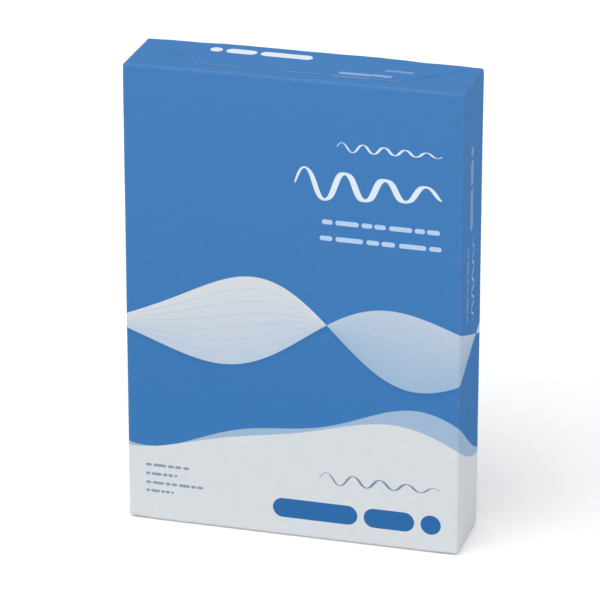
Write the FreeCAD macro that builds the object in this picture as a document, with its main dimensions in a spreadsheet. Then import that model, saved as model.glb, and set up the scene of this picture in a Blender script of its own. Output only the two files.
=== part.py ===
import FreeCAD
import Part

import os

# A sealed ream: 500 sheets of A4 paper in a printed wrapper, standing on one short end.
# It can't be seen into, so the sheets and their wrapper are one solid.
# The front looks along -Y, +Z is up, and the origin is the middle of the footprint, on the floor.
#
# The wrapper goes once round the stack and laps over itself down the back.
# At each end it is folded in four steps, which leave three levels:
#   the side tucks come first and lie deepest, level with the end of the core;
#   the front flap lies over them, one layer further out;
#   the back flap lies over both, another layer out, and the pack stands on the lower one.
# Each flap narrows at 45 degrees from its fold, because the tucks pull its corners in with them.

# name, size, what it is. Lengths are in millimetres.
SIZES = (
    ("sheet_width", 210.0, "A4 sheet, short side"),
    ("sheet_length", 297.0, "A4 sheet, long side"),
    ("stack_thickness", 50.0, "500 sheets of 75 g paper, 0.1 each"),
    ("wrapper_slack", 0.4, "wrapper and air outside the sheets, on every side"),
    ("edge_radius", 1.8, "roundness of the four long edges"),
    ("fold_radius", 1.5, "roundness of the folds round each end"),
    ("layer_rise", 0.5, "how far each folded layer stands out at the ends"),
    ("flap_length", 40.0, "end flap, from its fold to its cut edge"),
    ("flap_inset", 2.6, "from the pack's corner to where a flap's slanted side starts"),
    ("lap_width", 22.0, "overlap where the wrapper closes down the back"),
    ("lap_offset", 34.0, "middle of the overlap, from the middle of the back"),
    ("lap_rise", 0.2, "how far the overlap stands out from the back"),
)

# Sizes that follow from the sheet, as expressions that every sub-part repeats.
WIDTH = "(Sizes.sheet_width + 2 * Sizes.wrapper_slack)"
DEPTH = "(Sizes.stack_thickness + 2 * Sizes.wrapper_slack)"
CORE_LENGTH = "(Sizes.sheet_length + 2 * Sizes.wrapper_slack)"
HEIGHT = f"({CORE_LENGTH} + 4 * Sizes.layer_rise)"

NODE = "sealed_ream"
UP = FreeCAD.Vector(0, 0, 1)
HALF_TURN = 180


def make_sheet(doc):
    """The driving dimensions, one to a row, each with its alias and a note."""
    sheet = doc.addObject("Spreadsheet::Sheet", "Sizes")
    for row, (alias, size, note) in enumerate(SIZES, start=1):
        sheet.set(f"A{row}", alias)
        sheet.set(f"B{row}", str(size))
        sheet.setAlias(f"B{row}", alias)
        sheet.set(f"C{row}", note)
    doc.recompute()
    return sheet


def bind(obj, **expressions):
    """Ties properties of obj to cells of the sheet. x, y and z place it."""
    for name, expression in expressions.items():
        path = f".Placement.Base.{name}" if name in ("x", "y", "z") else name
        obj.setExpression(path, expression)


def runs_upright(edge):
    """Whether a block's straight edge runs along Z."""
    box = edge.BoundBox
    return box.ZLength > max(box.XLength, box.YLength)


def envelope(doc, sheet, name, inward, outward="0"):
    """A block of the pack's width and depth with every edge rounded.

    inward is how far its two ends lie inside the pack's own ends, and outward how far it stands
    out from the front and the back.
    """
    block = doc.addObject("Part::Box", f"{name}_block")
    bind(
        block,
        Length=WIDTH,
        Width=f"{DEPTH} + 2 * {outward}",
        Height=f"{HEIGHT} - 2 * {inward}",
        x=f"-{WIDTH} / 2",
        y=f"-{DEPTH} / 2 - {outward}",
        z=inward,
    )
    doc.recompute()
    rounded = doc.addObject("Part::Fillet", f"{name}_rounded")
    rounded.Base = block
    radii = []
    for number, edge in enumerate(block.Shape.Edges, start=1):
        radius = sheet.edge_radius if runs_upright(edge) else sheet.fold_radius
        radii.append((number, radius, radius))
    rounded.Edges = radii
    return rounded


def flap_outline(doc, name):
    """An upright prism with a flap's outline: full width at its fold, narrowing at 45 degrees."""
    prism = doc.addObject("Part::Wedge", f"{name}_outline")
    half = f"{WIDTH} / 2 - Sizes.flap_inset"
    bind(
        prism,
        Xmin=f"-({half})",
        Xmax=half,
        X2min=f"-({half} - Sizes.flap_length)",
        X2max=f"{half} - Sizes.flap_length",
        Ymin="0",
        Ymax="Sizes.flap_length",
        Zmin="0",
        Zmax=HEIGHT,
        Z2min="0",
        Z2max=HEIGHT,
    )
    return prism


def within(doc, name, block, outline):
    """The part of a rounded block that lies inside an outline."""
    common = doc.addObject("Part::MultiCommon", name)
    common.Shapes = [block, outline]
    return common


def front_flaps(doc, sheet):
    """The two flaps that fold back from the front, one layer out from the tucks."""
    outline = flap_outline(doc, "front_flap")
    bind(outline, y=f"-{DEPTH} / 2")
    block = envelope(doc, sheet, "front_flap", "Sizes.layer_rise")
    return within(doc, "front_flaps", block, outline)


def back_flaps(doc, sheet):
    """The two flaps that fold forward from the back, outermost at both ends."""
    outline = flap_outline(doc, "back_flap")
    outline.Placement.Rotation = FreeCAD.Rotation(UP, HALF_TURN)
    bind(outline, y=f"{DEPTH} / 2")
    return within(doc, "back_flaps", envelope(doc, sheet, "back_flap", "0"), outline)


def back_lap(doc, sheet):
    """The doubled band down the back, which is pressed level with the back flaps at both ends."""
    band = doc.addObject("Part::Box", "back_lap_outline")
    bind(
        band,
        Length="Sizes.lap_width",
        Width="Sizes.flap_length",
        Height=HEIGHT,
        x="Sizes.lap_offset - Sizes.lap_width / 2",
        y=f"{DEPTH} / 2 + Sizes.lap_rise - Sizes.flap_length",
    )
    block = envelope(doc, sheet, "back_lap", "0", "Sizes.lap_rise")
    return within(doc, "back_lap", block, band)


def sealed_ream(doc, sheet):
    """The whole pack as one solid."""
    ream = doc.addObject("Part::MultiFuse", NODE)
    ream.Shapes = [
        envelope(doc, sheet, "core", "2 * Sizes.layer_rise"),
        front_flaps(doc, sheet),
        back_flaps(doc, sheet),
        back_lap(doc, sheet),
    ]
    ream.Refine = True
    ream.Label = NODE
    return ream


def check(doc, ream):
    """Stops unless every object was computed and the ream is one valid, closed solid."""
    for obj in doc.Objects:
        if {"Invalid", "Error"} & set(obj.State):
            raise RuntimeError(f"{obj.Name} failed: {obj.State}")
    shape = ream.Shape
    if shape.isNull() or not shape.isValid() or len(shape.Solids) != 1:
        raise RuntimeError(f"{ream.Label} is not one valid solid")
    if not shape.Solids[0].isClosed():
        raise RuntimeError(f"{ream.Label} is open")


def main():
    doc = FreeCAD.newDocument("ream_of_paper")
    sheet = make_sheet(doc)
    ream = sealed_ream(doc, sheet)
    doc.recompute()
    check(doc, ream)
    os.makedirs("parts", exist_ok=True)
    ream.Shape.exportStep(os.path.join("parts", f"{NODE}.step"))
    box = ream.Shape.BoundBox
    print(f"{NODE}: {box.XLength:.2f} x {box.YLength:.2f} x {box.ZLength:.2f} mm,", end=" ")
    print(f"{ream.Shape.Volume / 1000:.1f} cm3, {len(ream.Shape.Faces)} faces")


main()
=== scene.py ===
import math

import bmesh
import bpy
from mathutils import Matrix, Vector, noise


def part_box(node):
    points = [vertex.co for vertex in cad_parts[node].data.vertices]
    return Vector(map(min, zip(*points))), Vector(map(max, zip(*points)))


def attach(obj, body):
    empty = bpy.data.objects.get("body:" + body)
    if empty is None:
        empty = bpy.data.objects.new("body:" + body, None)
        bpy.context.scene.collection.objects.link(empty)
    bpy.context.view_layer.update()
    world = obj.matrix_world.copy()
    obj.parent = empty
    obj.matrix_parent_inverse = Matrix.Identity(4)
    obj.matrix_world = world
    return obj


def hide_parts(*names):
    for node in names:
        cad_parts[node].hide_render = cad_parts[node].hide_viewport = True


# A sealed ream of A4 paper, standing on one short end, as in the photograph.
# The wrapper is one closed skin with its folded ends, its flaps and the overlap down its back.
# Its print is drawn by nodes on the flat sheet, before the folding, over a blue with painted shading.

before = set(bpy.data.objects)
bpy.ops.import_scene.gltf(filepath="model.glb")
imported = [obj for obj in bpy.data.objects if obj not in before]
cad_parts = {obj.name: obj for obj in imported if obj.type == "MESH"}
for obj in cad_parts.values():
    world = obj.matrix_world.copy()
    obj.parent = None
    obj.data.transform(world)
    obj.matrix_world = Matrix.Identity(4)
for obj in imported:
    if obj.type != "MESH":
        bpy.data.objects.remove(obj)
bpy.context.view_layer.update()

MM = 0.001

# The wrapper's folds, with the sizes that the solid has.
NODE = "sealed_ream"
BODY = "root"
EDGE_RADIUS = 1.8 * MM
FOLD_RADIUS = 1.5 * MM
LAYER_RISE = 0.5 * MM
FLAP_LENGTH = 40.0 * MM
FLAP_INSET = 2.6 * MM
LAP_WIDTH = 22.0 * MM
LAP_OFFSET = 34.0 * MM
LAP_RISE = 0.2 * MM

pack_low, pack_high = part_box(NODE)
HALF_WIDTH = pack_high.x
HALF_DEPTH = -pack_low.y
HEIGHT = pack_high.z

# The core: the stack with the wrapper and its side tucks, under the two flaps at each end.
CORE_LOW = Vector((-HALF_WIDTH, -HALF_DEPTH, 2 * LAYER_RISE))
CORE_HIGH = Vector((HALF_WIDTH, HALF_DEPTH, HEIGHT - 2 * LAYER_RISE))
RADII = Vector((EDGE_RADIUS, EDGE_RADIUS, FOLD_RADIUS))
INNER_LOW = CORE_LOW + RADII
INNER_HIGH = CORE_HIGH - RADII

# A flap's outline: half its width where it leaves the fold, and its length from there.
FLAP_ROOT = HALF_WIDTH - FLAP_INSET - EDGE_RADIUS
FLAP_REACH = FLAP_LENGTH - EDGE_RADIUS
FLAP_TIP = FLAP_ROOT - FLAP_REACH

# The overlap down the back: its cut edge, and where the sheet under it ends.
LAP_CUT = LAP_OFFSET + LAP_WIDTH / 2
LAP_START = LAP_OFFSET - LAP_WIDTH / 2
LAP_RAMP = 1.5 * MM
LAP_EDGE = 0.1 * MM
LAP_SHARE_ON_TOP = 0.6

# How the paper lies: its thickness, how far it droops, and how it settles on its bed.
PAPER = 0.12 * MM
FREE_DROOP = 0.3 * MM
DROOP_WIDTH = 12.0 * MM
TUCK_SEAT = 0.4 * MM
TUCK_FADE = 6.0 * MM
FOLD_GAP = 0.03 * MM
FOLD_WIDTH = 1.5 * MM
UNDER_LIFT = 3.0 * MM
CORNER_FADE = 10.0 * MM

# Its unevenness: how far it stands off its flat shape, and over what lengths that changes.
SLACK = 0.10 * MM
SLACK_SPAN = 52.0 * MM
FINE_SLACK_SPAN = 19.0 * MM
STRAIN = 0.11 * MM
STRAIN_WIDTH = 6.0 * MM
STRAIN_LENGTH = 40.0 * MM
STRAIN_REACH = 11.0 * MM
CREASE = 0.16 * MM
CREASES_PER_TURN = 5
CREASE_SHIFT = 1.3
CREASE_START = 4.0 * MM
CREASE_REACH = 13.0 * MM
FLUTTER = 0.14 * MM
FLUTTER_SPAN = 17.0 * MM
FLUTTER_ROW = 3.7

# Spacing of the mesh, and how its grids are joined.
ARC_STEPS = 4
COARSE = 3.0 * MM
MIDDLE = 2.4 * MM
FINE = 1.5 * MM
FINE_BAND = 24.0 * MM
LAP_PITCH = 0.4 * MM
FLAP_ROWS = 18
UNDER_ROWS = 6
WELD = 0.002 * MM
SHARP_TURN = math.radians(40)


# Shapes

def smooth(value):
    """0 below 0, 1 above 1, and an even turn between."""
    value = min(max(value, 0.0), 1.0)
    return value * value * (3.0 - 2.0 * value)


def divided(stops, pitches):
    """Places from the first stop to the last, evenly spaced between stops, pitch apart or less."""
    places = [stops[0]]
    for start, end, pitch in zip(stops, stops[1:], pitches):
        count = max(1, math.ceil((end - start) / pitch - 1e-6))
        places += [start + (end - start) * step / count for step in range(1, count + 1)]
    return places


def with_arcs(inner, radius):
    """Adds the grid lines that go round the block's two edges, each turned as far as the next."""
    half_corner = math.radians(45)
    turns = [radius * math.tan(half_corner * step / ARC_STEPS) for step in range(1, ARC_STEPS + 1)]
    before = [inner[0] - turn for turn in reversed(turns)]
    after = [inner[-1] + turn for turn in turns]
    return before + inner + after


def column_places():
    """Grid lines across the width, with one at each kink of the flaps and of the overlap."""
    stops = [
        INNER_LOW.x,
        -FLAP_ROOT,
        -FLAP_TIP,
        LAP_START - LAP_RAMP,
        LAP_START,
        LAP_CUT,
        LAP_CUT + LAP_EDGE,
        FLAP_TIP,
        FLAP_ROOT,
        INNER_HIGH.x,
    ]
    pitches = [MIDDLE, MIDDLE, MIDDLE, LAP_PITCH, MIDDLE, LAP_EDGE, MIDDLE, MIDDLE, MIDDLE]
    return with_arcs(divided(stops, pitches), EDGE_RADIUS)


def height_places():
    """Grid lines up the pack, closer together near the folded ends."""
    stops = [INNER_LOW.z, INNER_LOW.z + FINE_BAND, INNER_HIGH.z - FINE_BAND, INNER_HIGH.z]
    return with_arcs(divided(stops, [FINE, COARSE, FINE]), FOLD_RADIUS)


def depth_places():
    """Grid lines across the depth."""
    return with_arcs(divided([INNER_LOW.y, INNER_HIGH.y], [MIDDLE]), EDGE_RADIUS)


def rounded(point):
    """Where a point of the sharp-edged core lies once its edges are rounded, and which way is out."""
    inner = Vector([min(max(p, low), high) for p, low, high in zip(point, INNER_LOW, INNER_HIGH)])
    way = Vector([(p - i) / r for p, i, r in zip(point, inner, RADII)]).normalized()
    place = inner + Vector([w * r for w, r in zip(way, RADII)])
    out = Vector([w / r for w, r in zip(way, RADII)]).normalized()
    return place, out, way


def corner_creases(point):
    """Soft creases that spread from the pack's corners over the faces beside them."""
    across = HALF_WIDTH - abs(point.x) + HALF_DEPTH - abs(point.y)
    nearest = min((CORE_LOW.z, CORE_HIGH.z), key=lambda end: abs(point.z - end))
    along = abs(point.z - nearest)
    far = math.hypot(across, along)
    turn = math.atan2(along, across)
    corner = math.copysign(1, point.x) + 2 * math.copysign(1, point.y) + nearest / HEIGHT
    fan = math.cos(CREASES_PER_TURN * turn + CREASE_SHIFT * corner)
    return fan * math.exp(-far / CREASE_REACH) * smooth(far / CREASE_START)


def ripple(point):
    """How far the wrapper stands off its flat shape: slack, strain lines and corner creases."""
    slack = noise.noise(point / SLACK_SPAN) + 0.5 * noise.noise(point / FINE_SLACK_SPAN)
    from_end = min(point.z - CORE_LOW.z, CORE_HIGH.z - point.z)
    stretched = Vector((point.x / STRAIN_WIDTH, point.y / STRAIN_WIDTH, point.z / STRAIN_LENGTH))
    strain = noise.noise(stretched) * math.exp(-max(from_end, 0.0) / STRAIN_REACH)
    return SLACK * slack + STRAIN * strain + CREASE * corner_creases(point)


def corner_share(x):
    """0 where a flap starts at its corner, and 1 further in, where it has its full height."""
    return smooth((FLAP_ROOT - abs(x)) / CORNER_FADE)


def from_slant(x, inward):
    """How far inside a flap's slanted side a place lies. inward is its distance from the fold."""
    return (FLAP_ROOT - inward - abs(x)) / math.sqrt(2)


def front_flap_height(x, inward):
    """How high the front flap's upper side lies over the tucks."""
    pressed = FREE_DROOP * (1.0 - smooth(from_slant(x, inward) / DROOP_WIDTH))
    return corner_share(x) * (LAYER_RISE - pressed)


def back_flap_height(x, inward):
    """The same for the back flap, which lies on the front flap or, near its own fold, on the tucks."""
    y = HALF_DEPTH - EDGE_RADIUS - inward
    beyond_front_flap = (abs(x) - (FLAP_ROOT + EDGE_RADIUS - HALF_DEPTH - abs(y))) / math.sqrt(2)
    on_tucks = smooth(beyond_front_flap / DROOP_WIDTH) * smooth(y / TUCK_FADE)
    full = 2 * LAYER_RISE + (TUCK_SEAT - 2 * LAYER_RISE) * on_tucks
    from_edge = min(from_slant(x, inward), FLAP_REACH - inward)
    pressed = FREE_DROOP * (1.0 - smooth(from_edge / DROOP_WIDTH)) * (1.0 - on_tucks / 2)
    return corner_share(x) * (full - pressed)


def edge_flutter(x, inward, top):
    """The back flap's loose cut edge, which isn't quite straight. The lower one is pressed flat."""
    if not top:
        return 0.0
    loose = smooth((inward - FLAP_REACH + DROOP_WIDTH) / DROOP_WIDTH)
    lifted = 0.5 + noise.noise(Vector((x / FLUTTER_SPAN, FLUTTER_ROW, 0.0)))
    return FLUTTER * loose * max(lifted, 0.0) * corner_share(x)


def lap_height(x):
    """How far the overlap stands out at x: a soft step over the sheet under it, and a cut edge."""
    if x > LAP_CUT:
        return 0.0
    return LAP_RISE * smooth((x - LAP_START + LAP_RAMP) / LAP_RAMP)


def flap_height(side, x, inward):
    """Height of the front flap, side -1, or of the back flap, side 1."""
    return back_flap_height(x, inward) if side > 0 else front_flap_height(x, inward)


def bed_height(side, x, inward):
    """Height of what a flap lies on: the tucks, or the front flap where the back flap covers it."""
    if side < 0:
        return 0.0
    front_inward = 2 * (HALF_DEPTH - EDGE_RADIUS) - inward
    reach = min(FLAP_REACH, FLAP_ROOT - abs(x))
    return front_flap_height(x, front_inward) if front_inward < reach else 0.0


def underside_height(side, x, inward, upper):
    """Height of a flap's underside. At its slanted sides the sheet is folded under, down to its bed."""
    free = upper - PAPER * corner_share(x)
    folded = min(bed_height(side, x, inward) + FOLD_GAP * corner_share(x), free)
    return folded + (free - folded) * smooth(from_slant(x, inward) / FOLD_WIDTH)


def skin_height(point, way):
    """How far the skin stands out from the core on its four sides and round the folds of its ends."""
    side = math.copysign(1, point.y)
    turned = smooth(math.asin(min(abs(way.z), 1.0)) / math.radians(90))
    height = turned * flap_height(side, point.x, 0.0)
    if side > 0:
        end_share = LAP_SHARE_ON_TOP if point.z > HEIGHT / 2 else 0.0
        facing_back = max(way.y, abs(way.z)) if way.y > 0 else 0.0
        height += lap_height(point.x) * facing_back * (1.0 + (end_share - 1.0) * turned)
    return height


def on_skin(point):
    """Where a point of the sharp-edged core ends up on the skin."""
    place, out, way = rounded(point)
    return place + out * (skin_height(point, way) + ripple(point))


# The sheet unfolded: where each panel's points lie on it. The front's middle line is u = 0.
# Each function is given a point and the middle of its mesh face, which tells the side or the end.

def unfold_front(point, middle):
    return point.x, point.z


def unfold_side(point, middle):
    return math.copysign(HALF_WIDTH + point.y + HALF_DEPTH, middle.x), point.z


def unfold_back(point, middle):
    if middle.x > LAP_CUT:
        return 2 * HALF_WIDTH + 2 * HALF_DEPTH - point.x, point.z
    return -2 * HALF_WIDTH - 2 * HALF_DEPTH - point.x, point.z


def beyond_end(top, run):
    """Height on the unfolded sheet of what lies past the fold of an end."""
    return CORE_HIGH.z + run if top else CORE_LOW.z - run


def unfold_front_flap(point, middle):
    return point.x, beyond_end(middle.z > HEIGHT / 2, point.y + HALF_DEPTH)


def unfold_back_flap(point, middle):
    across, _ = unfold_back(point, middle)
    return across, beyond_end(middle.z > HEIGHT / 2, HALF_DEPTH - point.y)


def unfold_tuck(point, middle):
    across, _ = unfold_side(point, middle)
    return across, beyond_end(middle.z > HEIGHT / 2, HALF_WIDTH - abs(point.x))


# The mesh

PRINTED, BARE = 0, 1


class Skin:
    """The wrapper's mesh under construction, with the unfolded place of every corner."""

    def __init__(self):
        self.mesh = bmesh.new()
        self.unfolded = self.mesh.loops.layers.uv.new("unfolded")

    def grid(self, rows, unfold_strip, finish_strip):
        """Adds a grid. Each row is a list of (sharp point, place), and a strip lies between rows."""
        made = [[self.mesh.verts.new(place) for _, place in row] for row in rows]
        for number, (near, far) in enumerate(zip(made, made[1:])):
            unfold = unfold_strip(number)
            for step in range(len(near) - 1):
                corners = (near[step], near[step + 1], far[step + 1], far[step])
                points = (
                    rows[number][step][0],
                    rows[number][step + 1][0],
                    rows[number + 1][step + 1][0],
                    rows[number + 1][step][0],
                )
                middle = sum(points, Vector()) / 4
                face = self.mesh.faces.new(corners)
                face.smooth = True
                face.material_index = finish_strip(number, middle)
                for loop, point in zip(face.loops, points):
                    loop[self.unfolded].uv = unfold(point, middle)

    def panel(self, rows, unfold):
        """One of the pack's four sides. Only the cut edge of the overlap isn't printed."""
        placed = [[(point, on_skin(point)) for point in row] for row in rows]

        def finish(number, middle):
            at_cut = LAP_CUT < middle.x < LAP_CUT + LAP_EDGE and middle.y > 0
            return BARE if at_cut else PRINTED

        self.grid(placed, lambda number: unfold, finish)

    def closed(self, name, materials):
        """Welds the grids into one closed skin and makes it an object."""
        bmesh.ops.remove_doubles(self.mesh, verts=self.mesh.verts, dist=WELD)
        bmesh.ops.dissolve_degenerate(self.mesh, edges=self.mesh.edges, dist=WELD / 2)
        bmesh.ops.recalc_face_normals(self.mesh, faces=self.mesh.faces)
        for edge in self.mesh.edges:
            edge.smooth = len(edge.link_faces) == 2 and edge.calc_face_angle() < SHARP_TURN
        open_edges = sum(1 for edge in self.mesh.edges if len(edge.link_faces) != 2)
        print(f"{name}: {len(self.mesh.faces)} faces, {open_edges} open edges")
        data = bpy.data.meshes.new(name)
        for material in materials:
            data.materials.append(material)
        self.mesh.to_mesh(data)
        self.mesh.free()
        piece = bpy.data.objects.new(name, data)
        bpy.context.scene.collection.objects.link(piece)
        return piece


def flap_section(side, x, top):
    """A flap's section at x, from its fold over its upper side and back under it to the fold.

    Each entry is a distance from the fold and a height over the tucks.
    """
    reach = min(FLAP_REACH, max(0.0, FLAP_ROOT - abs(x)))
    lap = lap_height(x) * LAP_SHARE_ON_TOP if side > 0 and top else 0.0

    def upper(inward):
        flutter = edge_flutter(x, inward, top) if side > 0 else 0.0
        return flap_height(side, x, inward) + flutter

    section = []
    for step in range(FLAP_ROWS + 1):
        inward = reach * step / FLAP_ROWS
        section.append((inward, upper(inward) + lap))
    tip = upper(reach)
    under_tip = underside_height(side, x, reach, tip)
    bulge = (tip - under_tip) / 2 if abs(x) > FLAP_TIP else 0.0
    section.append((reach + bulge, (tip + under_tip) / 2))
    section.append((reach, under_tip))
    for step in range(UNDER_ROWS - 1, -1, -1):
        inward = reach * step / UNDER_ROWS
        lifted = smooth(inward / UNDER_LIFT)
        section.append((inward, underside_height(side, x, inward, upper(inward)) * lifted))
    return section


def end_rows(top, columns, depths):
    """The rows of one folded end, from the front fold to the back fold, and each strip's panel."""
    level = CORE_HIGH.z if top else CORE_LOW.z
    outward = Vector((0, 0, 1 if top else -1))
    fold_rows = depths[:ARC_STEPS]
    core_rows = depths[ARC_STEPS + 1:-ARC_STEPS - 1]
    sections = []
    for x in columns:
        section = [(Vector((x, y, level)), None) for y in fold_rows]
        for inward, height in flap_section(-1, x, top):
            section.append((Vector((x, INNER_LOW.y + inward, level)), height))
        for y in core_rows:
            section.append((Vector((x, y, level)), 0.0))
        for inward, height in reversed(flap_section(1, x, top)):
            section.append((Vector((x, INNER_HIGH.y - inward, level)), height))
        section += [(Vector((x, -y, level)), None) for y in reversed(fold_rows)]
        sections.append(section)

    def placed(point, height):
        if height is None or abs(point.x) > INNER_HIGH.x:
            return on_skin(point)
        place, out, _ = rounded(point)
        place = place + outward * (height + ripple(point))
        if not top:
            place.z = max(place.z, 0.0)
        return place

    rows = list(zip(*sections))
    rows = [[(point, placed(point, height)) for point, height in row] for row in rows]

    over = FLAP_ROWS + 1
    under = UNDER_ROWS + 1
    panels = ["front"] * (ARC_STEPS + over) + ["front under"] * under
    panels += ["tuck"] * (len(core_rows) + 1)
    panels += ["back under"] * under + ["back"] * (ARC_STEPS + over)
    return rows, panels


def add_end(skin, top, columns, depths):
    """One folded end: both flaps, upper side and underside, and the tucks under them."""
    rows, panels = end_rows(top, columns, depths)
    unfolds = {
        "front": unfold_front_flap,
        "front under": unfold_front_flap,
        "tuck": unfold_tuck,
        "back under": unfold_back_flap,
        "back": unfold_back_flap,
    }
    cut_strips = {ARC_STEPS + FLAP_ROWS, len(panels) - 1 - ARC_STEPS - FLAP_ROWS}

    def finish(number, middle):
        at_cut = number in cut_strips and abs(middle.x) < FLAP_TIP
        return BARE if "under" in panels[number] or at_cut else PRINTED

    skin.grid(rows, lambda number: unfolds[panels[number]], finish)


def make_wrapper(materials):
    """The whole wrapper: four sides and two folded ends."""
    columns = column_places()
    heights = height_places()
    depths = depth_places()
    skin = Skin()
    for y, unfold in ((-HALF_DEPTH, unfold_front), (HALF_DEPTH, unfold_back)):
        skin.panel([[Vector((x, y, z)) for x in columns] for z in heights], unfold)
    for x in (-HALF_WIDTH, HALF_WIDTH):
        skin.panel([[Vector((x, y, z)) for y in depths] for z in heights], unfold_side)
    for top in (False, True):
        add_end(skin, top, columns, depths)
    return skin.closed("wrapper", materials)


# Materials

def paint(red, green, blue):
    """A printed colour, given as it looks, in the values that the shader works with."""
    channels = []
    for channel in (red, green, blue):
        share = channel / 255
        channels.append(share / 12.92 if share <= 0.04045 else ((share + 0.055) / 1.055) ** 2.4)
    return (*channels, 1.0)


# The two blues are painted shading: lighter at the top of the pack and darker towards its foot.
BLUE_LIT_TOP = paint(72, 128, 189)
BLUE_SHADED_FOOT = paint(60, 121, 182)
PALE = paint(217, 221, 225)
PALE_SHADE = paint(190, 205, 222)
LIGHT_BLUE = paint(160, 186, 213)
WHITE_INK = paint(226, 236, 248)
DARK_BLUE = paint(50, 108, 168)
GREY_BLUE = paint(120, 140, 168)
PALE_INK = paint(184, 210, 238)
NOTE_GREY = paint(142, 159, 183)
RIBBON_SHADOW = paint(46, 100, 158)
BARE_WHITE = paint(232, 232, 229)
BARE_GREY = paint(222, 222, 218)

# How sharply the print's shapes end, for each millimetre across their edge.
EDGE = 4.0
FINE_EDGE = 5.0

# The paper's finish, how far it varies over the sheet, and how it is rubbed along the folds. Along the
# folds the ink is also lightened as a painted highlight.
INK_SPREAD = 0.05
ROUGHNESS = 0.48
ROUGHNESS_SPREAD = 0.10
GRAIN_SHARE = 0.4
TOOTH_SHARE = 0.3
INK_WEAR_AND_HIGHLIGHT = 0.08
RUBBED_ROUGHNESS = 0.15
BARE_ROUGHNESS = 0.75
BARE_ROUGHNESS_SPREAD = 0.1


class Recipe:
    """A node tree under construction. Each method adds a node and gives back its output."""

    def __init__(self, tree):
        self.tree = tree

    def node(self, kind, **settings):
        made = self.tree.nodes.new(kind)
        for name, setting in settings.items():
            setattr(made, name, setting)
        return made

    def feed(self, socket, source):
        """Links a source to a socket, or writes a plain value on it."""
        if isinstance(source, bpy.types.NodeSocket):
            self.tree.links.new(source, socket)
        else:
            socket.default_value = source

    def math(self, operation, *sources, clamp=False):
        made = self.node("ShaderNodeMath", operation=operation, use_clamp=clamp)
        for socket, source in zip(made.inputs, sources):
            self.feed(socket, source)
        return made.outputs[0]

    def distance(self, across, up):
        """Length of the straight line that goes so far across and so far up."""
        across_squared = self.math("MULTIPLY", across, across)
        up_squared = self.math("MULTIPLY", up, up)
        return self.math("SQRT", self.math("ADD", across_squared, up_squared))

    def cover(self, depth, sharpness=EDGE):
        """1 inside a shape and 0 outside it, from how deep a place lies in it."""
        return self.math("MULTIPLY_ADD", depth, sharpness, 0.5, clamp=True)

    def mix(self, share, under, over):
        """Mixes two colours, which are this node's inputs 6 and 7. The mixed colour is its output 2."""
        made = self.node("ShaderNodeMix", data_type="RGBA")
        sockets = (made.inputs[0], made.inputs[6], made.inputs[7])
        for socket, source in zip(sockets, (share, under, over)):
            self.feed(socket, source)
        return made.outputs[2]

    def noise(self, place, scale, detail, stretch=None):
        if stretch:
            made = self.node("ShaderNodeVectorMath", operation="MULTIPLY")
            self.feed(made.inputs[0], place)
            made.inputs[1].default_value = stretch
            place = made.outputs[0]
        made = self.node("ShaderNodeTexNoise")
        self.feed(made.inputs["Vector"], place)
        made.inputs["Scale"].default_value = scale
        made.inputs["Detail"].default_value = detail
        return made.outputs["Fac"]

    def group(self, name, *sources):
        made = self.node("ShaderNodeGroup", node_tree=bpy.data.node_groups[name])
        for socket, source in zip(made.inputs, sources):
            self.feed(socket, source)
        return made.outputs


def start_group(name, inputs, outputs):
    """A named node group with its sockets, and a recipe to fill it."""
    tree = bpy.data.node_groups.new(name, "ShaderNodeTree")
    for label, kind in inputs:
        tree.interface.new_socket(name=label, in_out="INPUT", socket_type=f"NodeSocket{kind}")
    for label, kind in outputs:
        tree.interface.new_socket(name=label, in_out="OUTPUT", socket_type=f"NodeSocket{kind}")
    recipe = Recipe(tree)
    return recipe, recipe.node("NodeGroupInput").outputs, recipe.node("NodeGroupOutput").inputs


# Shapes of the print. Each group makes one mask from lengths in millimetres.

def start_mask_group(name, *lengths):
    return start_group(name, [(length, "Float") for length in lengths], [("Mask", "Float")])


def make_bar_group():
    """A bar with round ends."""
    recipe, given, result = start_mask_group(
        "bar", "Across", "Up", "Middle Across", "Middle Up", "Half Length", "Half Height"
    )
    straight = recipe.math("SUBTRACT", given["Half Length"], given["Half Height"])
    aside = recipe.math("ABSOLUTE", recipe.math("SUBTRACT", given["Across"], given["Middle Across"]))
    past = recipe.math("MAXIMUM", recipe.math("SUBTRACT", aside, straight), 0.0)
    above = recipe.math("SUBTRACT", given["Up"], given["Middle Up"])
    inside = recipe.math("SUBTRACT", given["Half Height"], recipe.distance(past, above))
    recipe.feed(result["Mask"], recipe.cover(inside))


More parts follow.
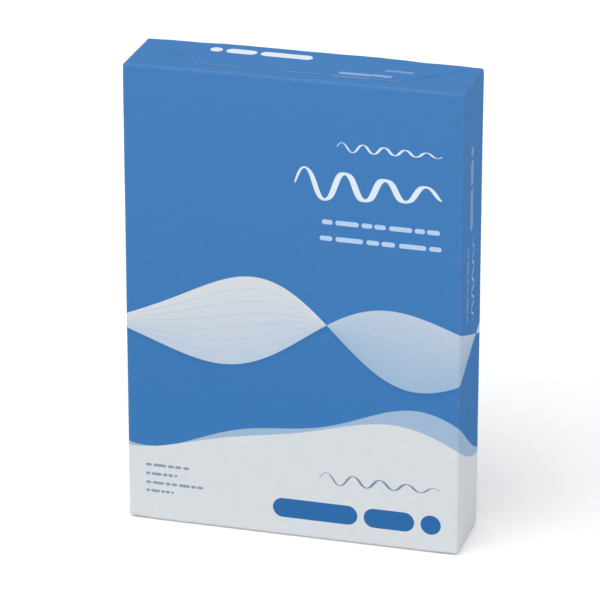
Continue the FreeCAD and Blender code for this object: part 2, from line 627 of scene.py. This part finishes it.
def make_flourish_group():
    """A brush stroke in waves, thicker where it is steep and pointed at its ends."""
    recipe, given, result = start_mask_group(
        "flourish", "Across", "Up", "Start", "End", "Level", "Swing", "Pitch", "Half Stroke"
    )
    last_swing = 0.4
    thinnest = 0.4
    taper = 0.4
    from_start = recipe.math("SUBTRACT", given["Across"], given["Start"])
    length = recipe.math("SUBTRACT", given["End"], given["Start"])
    share = recipe.math("DIVIDE", from_start, length, clamp=True)
    rest = recipe.math("SUBTRACT", 1.0, share)
    fullness = recipe.math("MULTIPLY", recipe.math("MULTIPLY", share, rest), 4.0)
    turns = recipe.math("DIVIDE", math.tau, given["Pitch"])
    angle = recipe.math("MULTIPLY", from_start, turns)
    dying = recipe.math("MULTIPLY_ADD", rest, 1.0 - last_swing, last_swing)
    swing = recipe.math("MULTIPLY", given["Swing"], dying)
    line = recipe.math("MULTIPLY_ADD", recipe.math("SINE", angle), swing, given["Level"])
    lean = recipe.math("COSINE", angle)
    climb = recipe.math("MULTIPLY", recipe.math("MULTIPLY", lean, turns), swing)
    steep = recipe.math("SQRT", recipe.math("MULTIPLY_ADD", climb, climb, 1.0))
    above = recipe.math("ABSOLUTE", recipe.math("SUBTRACT", given["Up"], line))
    off = recipe.math("DIVIDE", above, steep)
    leaning = recipe.math("MULTIPLY", lean, lean)
    pressed = recipe.math("MULTIPLY_ADD", leaning, 1.0 - thinnest, thinnest)
    tip = recipe.math("POWER", fullness, taper)
    stroke = recipe.math("MULTIPLY", recipe.math("MULTIPLY", given["Half Stroke"], pressed), tip)
    on_line = recipe.cover(recipe.math("SUBTRACT", stroke, off))
    between_ends = recipe.math("GREATER_THAN", fullness, 0.0)
    recipe.feed(result["Mask"], recipe.math("MULTIPLY", on_line, between_ends))


def make_dashes_group():
    """A line of round-ended dashes of uneven length, as tall as small print."""
    recipe, given, result = start_mask_group(
        "dashes", "Across", "Up", "Start", "End", "Level", "Half Height", "Dash"
    )
    beat = 2.2
    sway = 0.24
    pace_sway = 0.53
    half_dash = 0.42
    from_start = recipe.math("SUBTRACT", given["Across"], given["Start"])
    run = recipe.math("DIVIDE", from_start, given["Dash"])
    swing = recipe.math("MULTIPLY", run, beat)
    count = recipe.math("MULTIPLY_ADD", recipe.math("SINE", swing), sway, run)
    pace = recipe.math("MULTIPLY_ADD", recipe.math("COSINE", swing), pace_sway, 1.0)
    phase = recipe.math("FRACT", count)
    from_middle = recipe.math("ABSOLUTE", recipe.math("SUBTRACT", phase, half_dash))
    left = recipe.math("DIVIDE", recipe.math("SUBTRACT", half_dash, from_middle), pace)
    from_end = recipe.math("MULTIPLY", left, given["Dash"])
    from_end = recipe.math("MINIMUM", from_end, from_start)
    from_end = recipe.math("MINIMUM", from_end, recipe.math("SUBTRACT", given["End"], given["Across"]))
    into_cap = recipe.math("MAXIMUM", recipe.math("SUBTRACT", given["Half Height"], from_end), 0.0)
    above = recipe.math("SUBTRACT", given["Up"], given["Level"])
    inside = recipe.math("SUBTRACT", given["Half Height"], recipe.distance(into_cap, above))
    recipe.feed(result["Mask"], recipe.cover(inside, FINE_EDGE))


def bar(recipe, across, up, middle, level, half_length, half_height):
    return recipe.group("bar", across, up, middle, level, half_length, half_height)[0]


def flourish(recipe, across, up, start, end, level, swing, pitch, half_stroke):
    return recipe.group("flourish", across, up, start, end, level, swing, pitch, half_stroke)[0]


def dashes(recipe, across, up, start, end, level, half_height, dash):
    return recipe.group("dashes", across, up, start, end, level, half_height, dash)[0]


# The print comes again on the back, so its repeat is half the way round the pack. The repeat is a
# little longer than that and a little askew, so the print steps where the wrapper overlaps.
# All its lengths are in millimetres.
REPEAT_EXCESS = 0.8
HALF_REPEAT = (HALF_WIDTH + HALF_DEPTH) / MM + REPEAT_EXCESS / 2
SKEW = 0.0016
# How far from a fold the ink is lightened, partly as rubbed wear and partly as a painted highlight.
WEAR_AND_HIGHLIGHT_BAND = 2.2

STRIPES = 7.0
HALF_STRIPE = 0.22
STRIPE_STRENGTH = 0.5
NARROW = 14.0
STRIPE_FADE = 0.1
LEAST_WIDTH = 0.5
SHADOW_DROP = 3.0
SHADOW_SLOPE = 0.15
SHADOW_AT_EDGE = 0.4
SHADOW_STRENGTH = 0.35


def wave(recipe, across, level, swing, crest, second):
    """A line that swings once in each repeat, highest at crest, with a smaller second swing."""
    turn = math.tau / (2 * HALF_REPEAT)
    angle = recipe.math("MULTIPLY", recipe.math("SUBTRACT", across, crest), turn)
    line = recipe.math("MULTIPLY_ADD", recipe.math("COSINE", angle), swing, level)
    twice = recipe.math("SINE", recipe.math("MULTIPLY", angle, 2.0))
    return recipe.math("MULTIPLY_ADD", twice, second, line)


def below(recipe, line, up):
    """1 below a line and 0 above it."""
    return recipe.cover(recipe.math("SUBTRACT", line, up))


def between(recipe, lowest, up, highest):
    """How deep a height lies between two lines. Outside them it is less than 0."""
    under_highest = recipe.math("SUBTRACT", highest, up)
    over_lowest = recipe.math("SUBTRACT", up, lowest)
    return recipe.math("MINIMUM", under_highest, over_lowest)


def ribbon_stripes(recipe, share, width):
    """Fine stripes along the ribbon, which fade out where it grows narrow."""
    phase = recipe.math("FRACT", recipe.math("MULTIPLY_ADD", share, STRIPES, 0.5))
    off_stripe = recipe.math("ABSOLUTE", recipe.math("SUBTRACT", phase, 0.5))
    off_stripe = recipe.math("MULTIPLY", off_stripe, recipe.math("DIVIDE", width, STRIPES))
    stripe = recipe.cover(recipe.math("SUBTRACT", HALF_STRIPE, off_stripe), FINE_EDGE)
    spare_width = recipe.math("SUBTRACT", width, NARROW)
    wide_enough = recipe.math("MULTIPLY", spare_width, STRIPE_FADE, clamp=True)
    return recipe.math("MULTIPLY", stripe, wide_enough)


def paint_ribbon(recipe, across, up, ink_and_shade):
    """A broad ribbon with a soft shadow, which turns over twice in each repeat."""
    upper = wave(recipe, across, level=138, swing=30, crest=-38, second=6)
    lower = wave(recipe, across, level=134, swing=22, crest=74, second=-4)
    gap = recipe.math("SUBTRACT", upper, lower)
    width = recipe.math("ABSOLUTE", gap)
    highest = recipe.math("MAXIMUM", upper, lower)
    lowest = recipe.math("MINIMUM", upper, lower)

    in_shadow = between(recipe, lowest, recipe.math("ADD", up, SHADOW_DROP), highest)
    shadow = recipe.math("MULTIPLY_ADD", in_shadow, SHADOW_SLOPE, SHADOW_AT_EDGE, clamp=True)
    ink_and_shade = recipe.mix(recipe.math("MULTIPLY", shadow, SHADOW_STRENGTH), ink_and_shade, RIBBON_SHADOW)

    climbed = recipe.math("SUBTRACT", up, lowest)
    share = recipe.math("DIVIDE", climbed, recipe.math("MAXIMUM", width, LEAST_WIDTH))
    pale_side = recipe.mix(share, PALE_SHADE, PALE)
    blue_side = recipe.mix(share, LIGHT_BLUE, PALE_SHADE)
    ribbon = recipe.mix(recipe.cover(gap), blue_side, pale_side)
    stripes = recipe.math("MULTIPLY", ribbon_stripes(recipe, share, width), STRIPE_STRENGTH)
    ribbon = recipe.mix(stripes, ribbon, LIGHT_BLUE)
    return recipe.mix(recipe.cover(between(recipe, lowest, up, highest)), ink_and_shade, ribbon)


def paint_pale_field(recipe, across, up, ink_and_shade):
    """The pale lower part of the print, under a long wave with a light blue band along it."""
    line = wave(recipe, across, level=66, swing=15, crest=46, second=4)
    band = wave(recipe, across, level=72, swing=18, crest=58, second=7)
    ink_and_shade = recipe.mix(below(recipe, band, up), ink_and_shade, LIGHT_BLUE)
    return recipe.mix(below(recipe, line, up), ink_and_shade, PALE)


def paint_bold_mark(recipe, across, up, ink_and_shade, start, level, scale, colour, strength):
    """A long bar, a shorter one and a dot in a row."""
    thick = 12.8 * scale
    gap = 4.0 * scale
    for length in (54.0 * scale, 32.0 * scale, thick):
        mask = bar(recipe, across, up, start + length / 2, level, length / 2, thick / 2)
        ink_and_shade = recipe.mix(recipe.math("MULTIPLY", mask, strength), ink_and_shade, colour)
        start += length + gap
    return ink_and_shade


def paint_marks(recipe, across, up, ink_and_shade):
    """The lines and bars of the front and the back, each where the eye expects a heading or a note."""
    heading = flourish(recipe, across, up, 28, 93, level=259, swing=3.0, pitch=13.0, half_stroke=0.8)
    title = flourish(recipe, across, up, 2, 93, level=234, swing=10.5, pitch=25.0, half_stroke=2.3)
    motto = flourish(recipe, across, up, 18, 94, level=42, swing=4.2, pitch=17.0, half_stroke=0.8)
    first_line = dashes(recipe, across, up, 19, 93, level=210.5, half_height=1.5, dash=11.0)
    second_line = dashes(recipe, across, up, 17.6, 93, level=200.0, half_height=1.5, dash=13.0)
    marks = [
        (heading, WHITE_INK),
        (title, WHITE_INK),
        (motto, GREY_BLUE),
        (first_line, PALE_INK),
        (second_line, PALE_INK),
    ]
    # Each line of the note: where it ends, its level and the length of its dashes.
    notes = ((-66, 37.5, 6.4), (-73.6, 31.5, 4.9), (-56.6, 25.5, 5.6), (-76, 20.0, 4.3))
    for end, level, dash in notes:
        note = dashes(recipe, across, up, -94, end, level, half_height=0.95, dash=dash)
        marks.append((note, NOTE_GREY))
    for mask, colour in marks:
        ink_and_shade = recipe.mix(mask, ink_and_shade, colour)
    return paint_bold_mark(
        recipe, across, up, ink_and_shade, start=-12, level=19, scale=1.0, colour=DARK_BLUE, strength=1.0
    )


def paint_side_marks(recipe, aside, up, ink_and_shade):
    """The same marks on each side, small and faint. They run upright, so up and aside swap places."""
    ink_and_shade = paint_bold_mark(
        recipe, up, aside, ink_and_shade, start=205, level=-2, scale=0.5, colour=WHITE_INK, strength=0.22
    )
    title = flourish(recipe, up, aside, 144, 200, level=4, swing=3.4, pitch=11.0, half_stroke=0.9)
    note = dashes(recipe, up, aside, 148, 197, level=-9, half_height=1.0, dash=8.0)
    for mask, strength in ((title, 0.5), (note, 0.3)):
        ink_and_shade = recipe.mix(recipe.math("MULTIPLY", mask, strength), ink_and_shade, WHITE_INK)
    return ink_and_shade


def paint_end_marks(recipe, across, past_end, ink_and_shade):
    """The bold mark once more, small and pale, and two faint bars beside it."""
    ink_and_shade = paint_bold_mark(
        recipe, across, past_end, ink_and_shade, start=-2, level=12, scale=0.6, colour=WHITE_INK, strength=1.0
    )
    long_bar = bar(recipe, across, past_end, middle=-41, level=33, half_length=17, half_height=1.8)
    short_bar = bar(recipe, across, past_end, middle=-60, level=23, half_length=9, half_height=1.4)
    for mask, strength in ((long_bar, 0.3), (short_bar, 0.22)):
        ink_and_shade = recipe.mix(recipe.math("MULTIPLY", mask, strength), ink_and_shade, WHITE_INK)
    return ink_and_shade


def make_print_group():
    """The print on the unfolded sheet, over a blue with painted shading that grows darker towards the
    foot. Place is in metres, from the foot of the front's middle line.
    """
    recipe, given, result = start_group(
        "wrapper print and shade",
        [("Place", "Vector")],
        [("Ink and Shade", "Color"), ("Fold", "Float")],
    )
    split = recipe.node("ShaderNodeSeparateXYZ")
    recipe.feed(split.inputs[0], given["Place"])
    round_pack = recipe.math("MULTIPLY", split.outputs[0], 1 / MM)
    height = recipe.math("MULTIPLY", split.outputs[1], 1 / MM)
    up = recipe.math("MULTIPLY_ADD", round_pack, SKEW, height)
    across = recipe.math("WRAP", round_pack, HALF_REPEAT, -HALF_REPEAT)
    from_side_middle = recipe.math("SUBTRACT", round_pack, HALF_REPEAT)
    aside = recipe.math("WRAP", from_side_middle, HALF_REPEAT, -HALF_REPEAT)
    # Painted shading: the blue goes from lighter at the top to darker at the foot.
    ink_and_shade = recipe.mix(recipe.math("DIVIDE", up, HEIGHT / MM, clamp=True), BLUE_SHADED_FOOT, BLUE_LIT_TOP)
    ink_and_shade = paint_ribbon(recipe, across, up, ink_and_shade)
    ink_and_shade = paint_pale_field(recipe, across, up, ink_and_shade)
    ink_and_shade = paint_marks(recipe, across, up, ink_and_shade)
    ink_and_shade = paint_side_marks(recipe, aside, up, ink_and_shade)
    on_back = recipe.math("GREATER_THAN", recipe.math("ABSOLUTE", round_pack), HALF_REPEAT)
    marked = paint_end_marks(recipe, across, recipe.math("SUBTRACT", up, HEIGHT / MM), ink_and_shade)
    recipe.feed(result["Ink and Shade"], recipe.mix(on_back, ink_and_shade, marked))

    # The Fold mask: 1 on the folds, fading out over a band. It places the rubbed wear and the painted
    # highlight along them.
    off_middle = recipe.math("ABSOLUTE", across)
    from_edge = recipe.math("ABSOLUTE", recipe.math("SUBTRACT", off_middle, HALF_WIDTH / MM))
    from_foot = recipe.math("ABSOLUTE", recipe.math("SUBTRACT", height, CORE_LOW.z / MM))
    from_head = recipe.math("ABSOLUTE", recipe.math("SUBTRACT", height, CORE_HIGH.z / MM))
    nearest = recipe.math("MINIMUM", from_edge, recipe.math("MINIMUM", from_foot, from_head))
    share = recipe.math("DIVIDE", nearest, WEAR_AND_HIGHLIGHT_BAND)
    recipe.feed(result["Fold"], recipe.math("SUBTRACT", 1.0, share, clamp=True))


def make_grain_group():
    """The paper itself: fibres, a cloudy look-through and a fine tooth."""
    recipe, given, result = start_group(
        "paper grain",
        [("Place", "Vector")],
        [("Height", "Float"), ("Cloud", "Float")],
    )
    fibres = recipe.noise(given["Place"], scale=900, detail=3, stretch=(1.0, 1.0, 0.35))
    tooth = recipe.noise(given["Place"], scale=2600, detail=2)
    cloud = recipe.noise(given["Place"], scale=210, detail=4)
    fine = recipe.math("MULTIPLY", tooth, TOOTH_SHARE)
    recipe.feed(result["Height"], recipe.math("MULTIPLY_ADD", fibres, 1.0 - TOOTH_SHARE, fine))
    recipe.feed(result["Cloud"], cloud)


def make_sheet_edges_group():
    """The edges of the sheets inside, which press lightly through the wrapper on its two sides."""
    recipe, given, result = start_group("sheet edges", [("Place", "Vector")], [("Height", "Float")])
    edge_band = 0.8 * MM
    fade = 0.5 * MM
    split = recipe.node("ShaderNodeSeparateXYZ")
    recipe.feed(split.inputs[0], given["Place"])
    off_middle = recipe.math("ABSOLUTE", split.outputs[0])
    into_band = recipe.math("SUBTRACT", off_middle, HALF_WIDTH - edge_band)
    on_side = recipe.math("MULTIPLY", into_band, 1 / fade, clamp=True)
    ribs = recipe.noise(given["Place"], scale=700, detail=2, stretch=(0.0, 1.0, 0.02))
    recipe.feed(result["Height"], recipe.math("MULTIPLY", ribs, on_side))


def start_material(name):
    material = bpy.data.materials.new(name)
    material.use_nodes = True
    recipe = Recipe(material.node_tree)
    shader = material.node_tree.nodes["Principled BSDF"]
    return material, recipe, shader


def printed_paper():
    """Coated paper with hardly any gloss. Its ink is rubbed a little along the folds and lightened
    there as a painted highlight.
    """
    material, recipe, shader = start_material("printed_wrapper")
    sheet = recipe.node("ShaderNodeUVMap", uv_map="unfolded").outputs[0]
    solid = recipe.node("ShaderNodeTexCoord").outputs["Object"]
    ink_and_shade, fold = recipe.group("wrapper print and shade", sheet)
    height, cloud = recipe.group("paper grain", solid)
    edges = recipe.group("sheet edges", solid)[0]
    uneven = recipe.math("MULTIPLY_ADD", cloud, INK_SPREAD, 1.0 - INK_SPREAD / 2)
    dulled = recipe.node("ShaderNodeVectorMath", operation="SCALE")
    recipe.feed(dulled.inputs[0], ink_and_shade)
    recipe.feed(dulled.inputs["Scale"], uneven)
    # Along the folds the ink is lightened in patches: partly rubbed wear, partly a painted highlight.
    wear_and_highlight_noise = recipe.noise(solid, scale=160, detail=3)
    patchy_wear_and_highlight = recipe.math("MULTIPLY_ADD", wear_and_highlight_noise, 2.0, -0.6, clamp=True)
    fold_wear_and_highlight = recipe.math("MULTIPLY", fold, patchy_wear_and_highlight)
    colour = recipe.mix(recipe.math("MULTIPLY", fold_wear_and_highlight, INK_WEAR_AND_HIGHLIGHT), dulled.outputs[0], BARE_WHITE)
    recipe.feed(shader.inputs["Base Color"], colour)
    rough = recipe.math("MULTIPLY_ADD", cloud, ROUGHNESS_SPREAD, ROUGHNESS)
    recipe.feed(shader.inputs["Roughness"], recipe.math("MULTIPLY_ADD", fold_wear_and_highlight, RUBBED_ROUGHNESS, rough))
    bump = recipe.node("ShaderNodeBump")
    bump.inputs["Distance"].default_value = 0.08 * MM
    recipe.feed(bump.inputs["Height"], recipe.math("MULTIPLY_ADD", height, GRAIN_SHARE, edges))
    recipe.feed(shader.inputs["Normal"], bump.outputs[0])
    shader.inputs["Specular IOR Level"].default_value = 0.01
    return material


def bare_paper():
    """The wrapper's uncoated inner side, which shows at its cut edges and under the flaps."""
    material, recipe, shader = start_material("bare_paper")
    solid = recipe.node("ShaderNodeTexCoord").outputs["Object"]
    height, cloud = recipe.group("paper grain", solid)
    recipe.feed(shader.inputs["Base Color"], recipe.mix(cloud, BARE_GREY, BARE_WHITE))
    rough = recipe.math("MULTIPLY_ADD", height, BARE_ROUGHNESS_SPREAD, BARE_ROUGHNESS)
    recipe.feed(shader.inputs["Roughness"], rough)
    bump = recipe.node("ShaderNodeBump")
    bump.inputs["Strength"].default_value = 0.3
    bump.inputs["Distance"].default_value = 0.05 * MM
    recipe.feed(bump.inputs["Height"], height)
    recipe.feed(shader.inputs["Normal"], bump.outputs[0])
    return material


# The studio

ROOM_LIGHT = 0.65
FLOOR_GLOW = 0.17
LAMP_SPREAD = math.radians(45)


def look_camera():
    """The photograph's view: the front turned a little away, with the upper end and the right side."""
    azimuth = math.radians(15.8)
    elevation = math.radians(22.0)
    distance = 2.6
    aim = Vector((-0.0018, 0.0, 0.1476))
    back = Vector((
        math.sin(azimuth) * math.cos(elevation),
        -math.cos(azimuth) * math.cos(elevation),
        math.sin(elevation),
    ))
    camera = bpy.data.objects.new("camera", bpy.data.cameras.new("camera"))
    camera.data.lens = 255.4
    camera.data.clip_end = 20.0
    camera.location = aim + back * distance
    camera.rotation_euler = (-back).to_track_quat("-Z", "Y").to_euler()
    bpy.context.scene.collection.objects.link(camera)
    bpy.context.scene.camera = camera


def add_lamp(name, from_where, strength):
    """A broad soft lamp, far enough off to light the floor evenly."""
    lamp = bpy.data.objects.new(name, bpy.data.lights.new(name, "SUN"))
    lamp.data.angle = LAMP_SPREAD
    lamp.data.energy = strength
    lamp.location = from_where
    lamp.rotation_euler = (-Vector(from_where)).to_track_quat("-Z", "Y").to_euler()
    bpy.context.scene.collection.objects.link(lamp)


def white_surroundings():
    """An even pale room that shows as white behind the pack and in its gloss."""
    world = bpy.data.worlds.new("surroundings")
    bpy.context.scene.world = world
    world.use_nodes = True
    recipe = Recipe(world.node_tree)
    background = world.node_tree.nodes["Background"]
    background.inputs["Color"].default_value = (1, 1, 1, 1)
    rays = recipe.node("ShaderNodeLightPath").outputs
    seen = recipe.math("MAXIMUM", rays["Is Camera Ray"], rays["Is Glossy Ray"])
    seen = recipe.math("MAXIMUM", seen, rays["Is Transmission Ray"])
    strength = recipe.math("MULTIPLY_ADD", seen, 1.0 - ROOM_LIGHT, ROOM_LIGHT)
    recipe.feed(background.inputs["Strength"], strength)


def make_floor():
    """A pale floor that keeps the pack's soft shadow."""
    material, recipe, shader = start_material("floor")
    shader.inputs["Base Color"].default_value = (0.9, 0.9, 0.9, 1)
    shader.inputs["Roughness"].default_value = 0.9
    shader.inputs["Specular IOR Level"].default_value = 0.0
    shader.inputs["Emission Color"].default_value = (1, 1, 1, 1)
    rays = recipe.node("ShaderNodeLightPath").outputs
    glow = recipe.math("MULTIPLY", rays["Is Camera Ray"], FLOOR_GLOW)
    recipe.feed(shader.inputs["Emission Strength"], glow)
    half = 4.0
    corners = [(-half, -half, 0), (half, -half, 0), (half, half, 0), (-half, half, 0)]
    data = bpy.data.meshes.new("floor")
    data.from_pydata(corners, [], [(0, 1, 2, 3)])
    data.materials.append(material)
    floor = bpy.data.objects.new("floor", data)
    bpy.context.scene.collection.objects.link(floor)


def main():
    bpy.context.scene.view_settings.view_transform = "Standard"
    look_camera()
    white_surroundings()
    make_floor()
    add_lamp("key", (-1.2, -2.2, 3.8), 1.25)
    add_lamp("fill", (7.0, -3.0, 3.0), 0.26)
    for make_group in (
        make_bar_group,
        make_flourish_group,
        make_dashes_group,
        make_print_group,
        make_grain_group,
        make_sheet_edges_group,
    ):
        make_group()
    wrapper = make_wrapper([printed_paper(), bare_paper()])
    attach(wrapper, BODY)
    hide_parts(NODE)


main()
